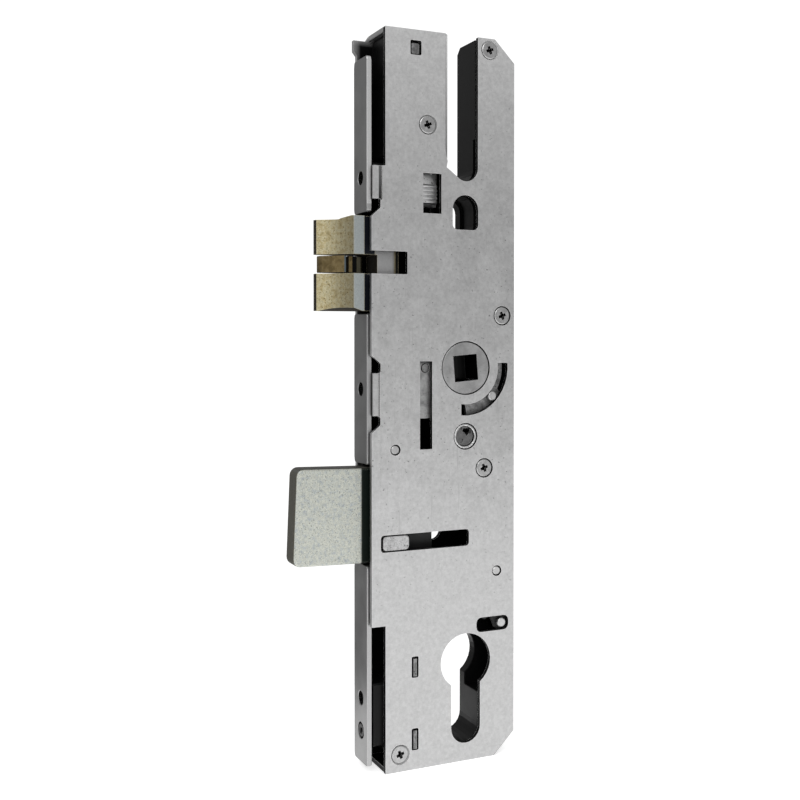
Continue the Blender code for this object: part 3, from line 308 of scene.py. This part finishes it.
# painted shade: the lug is dark beyond its near face, inside the case
LUG = surface("bolt_lug_zinc", [grey(164), grey(190), grey(208), grey(182)], metallic=1.0,
              rough=(0.4, 0.54), patch_mm=1.2, grain_mm=0.3, grain_depth=0.34, bump_mm=0.018,
              speck=(grey(128), 0.5, 0.62), edge=(grey(120), 0.3),
              zones=[({"y": (-6.6, None)}, 0.2, DARK, 0.1)])
BRONZE = surface("worn_bronze", [srgb(98, 84, 55), srgb(124, 108, 74), srgb(140, 124, 90)], metallic=0.9,
                 rough=(0.36, 0.5), patch_mm=1.8, grain_mm=0.3, grain_depth=0.2, bump_mm=0.015,
                 edge=(srgb(176, 156, 112), 0.2),
                 zones=[({"x": (-6.4, -5.0)}, 0.2, srgb(92, 104, 110), 1.0),
                        ({"x": (-5.0, -4.6)}, 0.15, DARK, 0.2), ({"x": (-2.6, -0.9)}, 0.2, DARK, 0.2),
                        ({"x": (-0.9, None)}, 0.3, srgb(92, 88, 72), 0.9)])
BRIGHT = surface("bright_steel", [grey(186), grey(196), grey(206)], metallic=1.0, rough=(0.3, 0.44),
                 patch_mm=3.0, grain_mm=0.3, grain_depth=0.15, bump_mm=0.008, speck=(grey(110), 0.6, 0.70),
                 edge=(grey(232), 0.2))
# painted shade: the eyelet turns dark below the face of the cover, inside its hole
TURNED = surface("turned_eyelet_steel", [grey(206), grey(214), grey(222)], metallic=1.0, rough=(0.26, 0.38),
                 patch_mm=2.0, grain_mm=0.3, grain_depth=0.1, bump_mm=0.006, edge=(grey(240), 0.15),
                 zones=[({"y": (-7.1, None)}, 0.2, grey(60), 0.4)])
PILLAR = surface("worn_pillar_steel", [grey(102), grey(114), grey(126)], metallic=1.0, rough=(0.34, 0.5),
                 patch_mm=1.6, grain_mm=0.3, grain_depth=0.2, bump_mm=0.015, speck=(grey(40), 0.9, 0.62),
                 edge=(grey(190), 0.2),
                 zones=[({"x": (32.0, 34.6), "z": (-20.6, -19.2)}, 0.4, DARK, 0.1)])
# painted shade: the last zone darkens the slide plate's cut walls
SLIDE = surface("slide_plate_steel", [grey(126), grey(158), grey(184), grey(144)], metallic=1.0,
                rough=(0.32, 0.5), patch_mm=3.2, grain_mm=0.3, grain_depth=0.15, bump_mm=0.012,
                speck=(grey(90), 0.8, 0.66), edge=(grey(220), 0.2),
                zones=[({"z": (1.2, 30.0)}, 1.4, grey(92), 0.8), ({"ny": (-0.5, 0.5)}, 0.3, DARK, 0.2)])
# painted shade: the screws are pitch black from just below the face of the head, in the cross recess and
# round the head
SCREW = surface("plated_screw_steel", [grey(168), grey(182), grey(196)], metallic=1.0, rough=(0.3, 0.42),
                patch_mm=1.4, grain_mm=0.25, grain_depth=0.2, bump_mm=0.01, edge=(grey(232), 0.2),
                zones=[({"y": (-7.25, None)}, 0.1, PITCH_BLACK, 0.05)])
MOTTLED = surface("mottled_steel", [grey(86), grey(128), grey(170)], metallic=0.95, rough=(0.34, 0.55),
                  patch_mm=2.0, grain_mm=0.35, grain_depth=0.25, bump_mm=0.02, speck=(grey(40), 0.7, 0.64),
                  edge=(grey(190), 0.25))
# painted light: the rack block's steel is set near white, brighter than the other steel, to stand in for
# light reaching it in its window
RACK_PAINTED_LIGHT = surface("rack_block_steel_painted_light", [grey(214), grey(228), grey(240)], metallic=1.0, rough=(0.3, 0.44),
               patch_mm=2.0, grain_mm=0.3, grain_depth=0.2, bump_mm=0.012, speck=(grey(120), 0.7, 0.66),
               edge=(grey(240), 0.25))
SPRING = surface("spring_wire", [grey(112), grey(128), grey(142)], metallic=1.0, rough=(0.24, 0.38),
                 patch_mm=2.0, grain_mm=0.3, grain_depth=0.2, bump_mm=0.006)

FINISHES = {
    "near_cover": COVER, "far_case": CASE, "upper_block": BLACK, "cylinder_block": BLACK,
    "upper_front_block": BLACK, "head_lug": MOTTLED, "upper_strip": STRIP, "middle_strip": STRIP,
    "lower_strip": STRIP, "upper_screw_block": BLACK, "middle_screw_block": BLACK,
    "lower_screw_block": BLACK, "lower_strip_rivet": STEEL_IN_PAINTED_SHADE, "case_screw_head": SCREW,
    "case_screw_arm": SCREW, "case_screw_rear": SCREW, "case_screw_middle": SCREW,
    "case_screw_foot": SCREW, "case_sleeve_rear": BLACK, "case_sleeve_middle": BLACK,
    "case_sleeve_foot": BLACK, "front_rivet": BRIGHT, "lever_pivot": BRIGHT, "fixing_eyelet": TURNED,
    "fixing_pillar": PILLAR, "spacer_plate": MOTTLED, "deadbolt_guide": BLACK, "detent_spring": SPRING,
    "spring_post": BRIGHT, "follower_spring": SPRING, "latch_spring": SPRING, "lever_spring": SPRING,
    "follower_hub": HUB_STEEL, "follower_gear": MOTTLED, "follower_cam": MOTTLED, "follower_pin": BRIGHT,
    "drive_slide": SLIDE, "slide_rivet": MOTTLED, "rack_block": RACK_PAINTED_LIGHT, "latch_head": YELLOW,
    "latch_tail": ZINC, "latch_tail_rivet": BRIGHT, "tongue_pin": BRIGHT, "latch_tongue": BRONZE,
    "deadbolt": ZINC, "deadbolt_lug": LUG, "deadbolt_tail": STEEL_IN_PAINTED_SHADE, "tail_rivet_upper": BRIGHT,
    "tail_rivet_lower": BRIGHT, "locking_lever": STEEL_IN_PAINTED_SHADE, "lever_pin": BRIGHT,
}


def rounded(thing, width_mm):
    """Joins flat triangles into whole faces and rounds sharp edges by modifiers; the CAD mesh stays."""
    weld = thing.modifiers.new("weld", "WELD")
    weld.merge_threshold = 0.002 * MM
    flat = thing.modifiers.new("flat", "DECIMATE")
    flat.decimate_type = "DISSOLVE"
    flat.angle_limit = math.radians(0.5)
    bevel = thing.modifiers.new("round", "BEVEL")
    bevel.width = width_mm * MM
    bevel.segments = 2
    bevel.limit_method = "ANGLE"
    bevel.angle_limit = math.radians(32)
    bevel.harden_normals = True
    bevel.miter_outer = "MITER_ARC"


EDGE_ROUND_MM = {
    "near_cover": 0.22, "far_case": 0.25, "upper_block": 0.3, "cylinder_block": 0.25, "upper_strip": 0.3,
    "middle_strip": 0.3, "lower_strip": 0.3, "latch_head": 0.22, "latch_tongue": 0.15, "deadbolt": 0.15,
    "deadbolt_lug": 0.25, "fixing_eyelet": 0.15, "fixing_pillar": 0.2, "rack_block": 0.12,
    "drive_slide": 0.15, "locking_lever": 0.15, "head_lug": 0.15, "follower_hub": 0.12,
}
for name, thing in nodes.items():
    thing.data.materials.clear()
    thing.data.materials.append(FINISHES[name])
    if name in EDGE_ROUND_MM:
        rounded(thing, EDGE_ROUND_MM[name])


# ---- pieces built here -------------------------------------------------------------------------
def skin(name, rings, finish, smooth=False):
    """A closed solid over rings of points, with flat ends."""
    bm = bmesh.new()
    rings = [[bm.verts.new(point) for point in ring] for ring in rings]
    bm.faces.new(rings[0])
    bm.faces.new(rings[-1][::-1])
    for one, two in zip(rings, rings[1:]):
        for i in range(len(one)):
            j = (i + 1) % len(one)
            bm.faces.new((one[i], two[i], two[j], one[j]))
    bmesh.ops.recalc_face_normals(bm, faces=bm.faces[:])
    for face in bm.faces:
        face.smooth = smooth
    mesh = bpy.data.meshes.new(name)
    bm.to_mesh(mesh)
    bm.free()
    mesh.materials.append(finish)
    thing = bpy.data.objects.new(name, mesh)
    bpy.context.scene.collection.objects.link(thing)
    return thing


def grip_leaf():
    """Black-coated leaf on one wall of the square hole, towards its far end, that grips a spindle; its black
    is painted shade deep in the hole.
    """
    hub = sum(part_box("follower_hub"), Vector()) / 2
    side, tilt = 8.2 * MM, math.radians(4.5)    # the square hole's width and tilt
    half_height = 0.495 * side
    wall_gap_mm = 0.05
    # how far the leaf stands out from the wall, and where across the case, in millimetres
    along = Vector((math.cos(tilt), 0.0, math.sin(tilt)))
    up = Vector((-math.sin(tilt), 0.0, math.cos(tilt)))
    bow = [(0.0, 1.0), (0.5, 2.6), (1.0, 4.4), (1.3, 6.0), (1.35, 6.9), (1.1, 7.3), (0.0, 7.3)]
    rings = []
    for rise in (-half_height, half_height):
        middle = Vector((hub.x, 0.0, 0.0)) + up * rise
        rings.append([middle + along * (side / 2 - (wall_gap_mm + reach) * MM)
                      + Vector((0.0, across * MM, 0.0)) for reach, across in bow])
    leaf = skin("grip_leaf", rings, BLACK)
    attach(leaf, "follower")


def latch_coil():
    """The latch's round-wire spring at rest length, in place of the CAD spring; it is not made to shorten as
    the latch goes in.
    """
    first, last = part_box("latch_spring")
    middle = (first + last) / 2
    axis = Vector((1.0, 0.0, 0.0))
    wire = 0.4 * MM                 # radius of the wire
    turns, steps, sides = 9, 18, 8
    radius = (last.z - first.z) / 2 - wire
    length = last.x - first.x - 2 * wire
    rings = []
    for i in range(turns * steps + 1):
        turn = math.tau * i / steps
        outward = Vector((0.0, math.cos(turn), math.sin(turn)))
        reached = first.x + wire + length * i / (turns * steps)
        spot = Vector((reached, middle.y, middle.z)) + outward * radius
        rings.append([spot + (outward * math.cos(a) + axis * math.sin(a)) * wire
                      for a in (math.tau * k / sides for k in range(sides))])
    coil = skin("latch_coil", rings, SPRING, smooth=True)
    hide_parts("latch_spring")
    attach(coil, "case")
    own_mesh(coil)


grip_leaf()
latch_coil()

# ---- floor, light and camera -------------------------------------------------------------------
low, high = (Vector(corner) for corner in cad_box)


def floor(place, radius):
    """A pale round floor that the case stands on."""
    bm = bmesh.new()
    bmesh.ops.create_circle(bm, cap_ends=True, radius=radius, segments=96)
    mesh = bpy.data.meshes.new("floor")
    bm.to_mesh(mesh)
    bm.free()
    thing = bpy.data.objects.new("floor", mesh)
    thing.location = place
    bpy.context.scene.collection.objects.link(thing)
    n = Nodes("pale_floor")
    metres = n.add("ShaderNodeTexCoord").outputs["Object"]
    tone = n.ramp(n.noise(metres, 0.4, detail=2.0), [grey(244), grey(248)])
    n.put(n.shader.inputs["Base Color"], tone)
    n.shader.inputs["Roughness"].default_value = 0.9
    n.shader.inputs["Specular IOR Level"].default_value = 0.1
    n.shader.inputs["Emission Color"].default_value = grey(255)
    n.shader.inputs["Emission Strength"].default_value = 0.7
    mesh.materials.append(n.material)


def softbox(name, place, aim, size, watts):
    """A square lamp of that size, turned towards a point."""
    data = bpy.data.lights.new(name, "AREA")
    data.size = size
    data.energy = watts
    lamp = bpy.data.objects.new(name, data)
    lamp.location = place
    lamp.rotation_euler = (Vector(aim) - Vector(place)).to_track_quat("-Z", "Y").to_euler()
    bpy.context.scene.collection.objects.link(lamp)


floor(place=(0.12, -0.27, low.z), radius=0.36)
softbox("key", place=(-0.7, -1.0, 1.0), aim=(low + high) / 2, size=0.7, watts=4.0)


def studio(shown, ahead, behind, left, right, level, above):
    """A white backdrop in a room that lights the case by these strengths from its sides.

    ahead is the side the photo is taken from. shown is the backdrop's own strength in the picture.
    """
    made = bpy.data.worlds.new("studio")
    made.use_nodes = True
    bpy.context.scene.world = made
    tree = made.node_tree

    def link(kind, sources, settings=()):
        node = tree.nodes.new(kind)
        for key, value in settings:
            node.inputs[key].default_value = value
        for socket, source in sources:
            tree.links.new(source, node.inputs[socket])
        return node

    def fade(source, start, end, at_start, at_end):
        limits = [("From Min", start), ("From Max", end), ("To Min", at_start), ("To Max", at_end)]
        return link("ShaderNodeMapRange", [("Value", source)], limits).outputs[0]

    def times(one, other):
        node = link("ShaderNodeMath", [(0, one), (1, other)])
        node.operation = "MULTIPLY"
        return node.outputs[0]

    look = tree.nodes.new("ShaderNodeTexCoord").outputs["Generated"]
    way = link("ShaderNodeSeparateXYZ", [(0, look)]).outputs
    room = times(fade(way["Y"], -0.6, 0.6, ahead, behind), fade(way["X"], 0.25, 0.6, left, right))
    room = times(room, fade(way["Z"], 0.05, 0.4, level, above))
    seen = tree.nodes.new("ShaderNodeLightPath").outputs["Is Camera Ray"]
    strength = link("ShaderNodeMix", [("Factor", seen), ("A", room)], [("B", shown)])
    backdrop = tree.nodes["Background"]
    backdrop.inputs["Color"].default_value = grey(255)
    tree.links.new(strength.outputs[0], backdrop.inputs["Strength"])


studio(shown=1.12, ahead=0.5, behind=0.27, left=1.16, right=0.78, level=1.0, above=1.35)

YAW, PITCH = math.radians(24.65), math.radians(0.91)
camera_data = bpy.data.cameras.new("camera")
camera_data.sensor_width = 36.0
camera_data.lens = 49.97
camera_data.shift_x, camera_data.shift_y = -0.0228, -0.0574
camera_data.clip_start, camera_data.clip_end = 0.01, 50.0
camera = bpy.data.objects.new("camera", camera_data)
camera.location = Vector((-125.78, -316.65, 9.85)) * MM
forward = Vector((math.sin(YAW) * math.cos(PITCH), math.cos(YAW) * math.cos(PITCH), -math.sin(PITCH)))
camera.rotation_euler = forward.to_track_quat("-Z", "Y").to_euler()
bpy.context.scene.collection.objects.link(camera)
bpy.context.scene.camera = camera
bpy.context.scene.view_settings.view_transform = "Standard"
